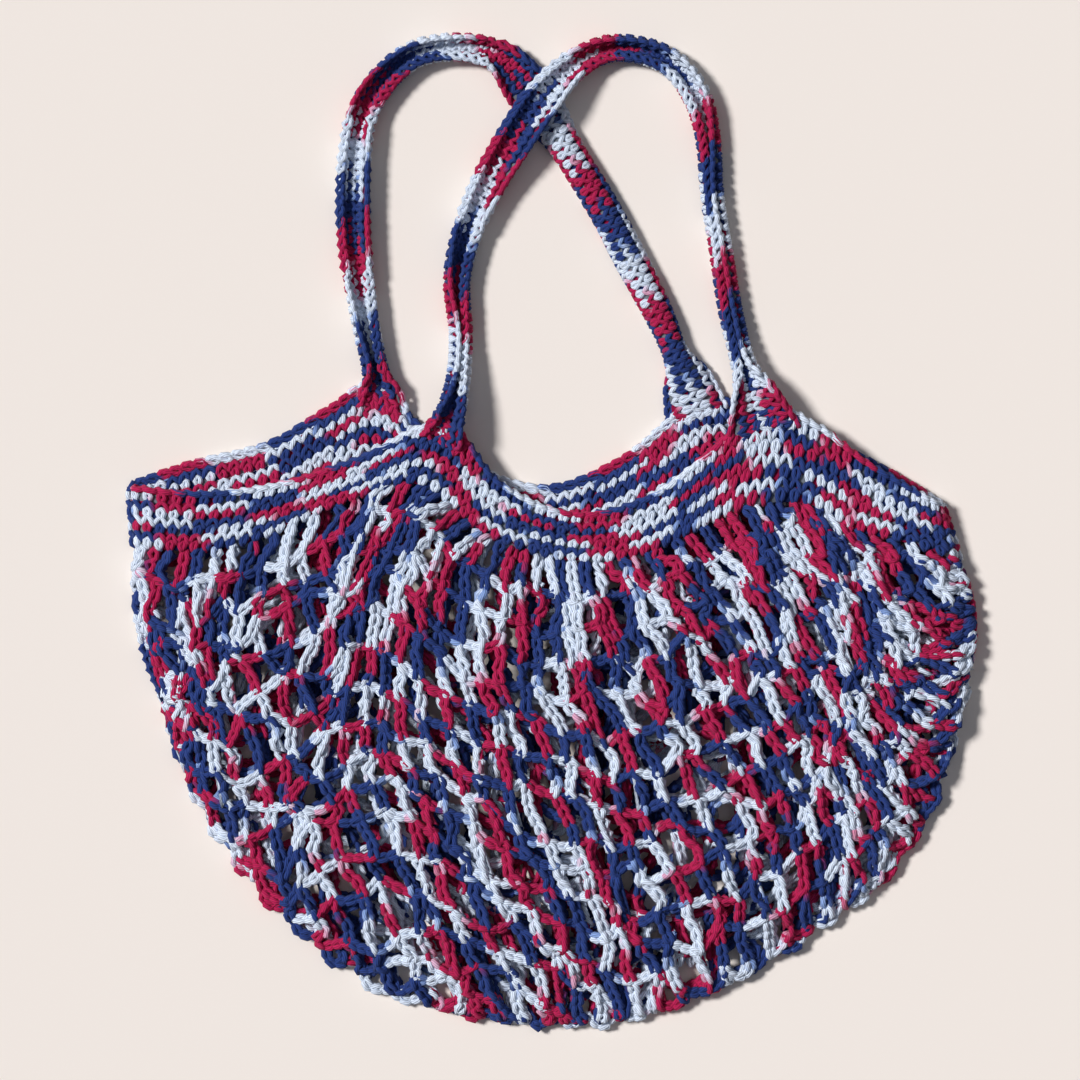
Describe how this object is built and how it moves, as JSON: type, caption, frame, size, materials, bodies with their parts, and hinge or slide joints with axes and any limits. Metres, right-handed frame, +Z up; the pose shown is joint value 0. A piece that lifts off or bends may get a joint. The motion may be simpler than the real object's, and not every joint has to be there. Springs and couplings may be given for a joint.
{
  "type": "mesh market bag",
  "caption": "Crocheted openwork bag lying flat, with a gathered single-crochet band at its mouth and long curled handles.",
  "frame": {"origin": "on the surface, under the middle of the whole outline", "axes": "+Z up from the surface, +Y from the bag's bottom towards its handles, +X to the right"},
  "size_m": [0.4256, 0.4948, 0.0247],
  "materials": {
    "net_yarn": "plied matt cotton in white, crimson, navy and pink",
    "band_yarn": "plied matt cotton in close stitches",
    "handle_yarn": "plied matt cotton in close stitches"
  },
  "bodies": {
    "root": {"net_body": "net_yarn", "top_band": "band_yarn", "handle_back": "handle_yarn", "handle_front": "handle_yarn"}
  },
  "joints": []
}
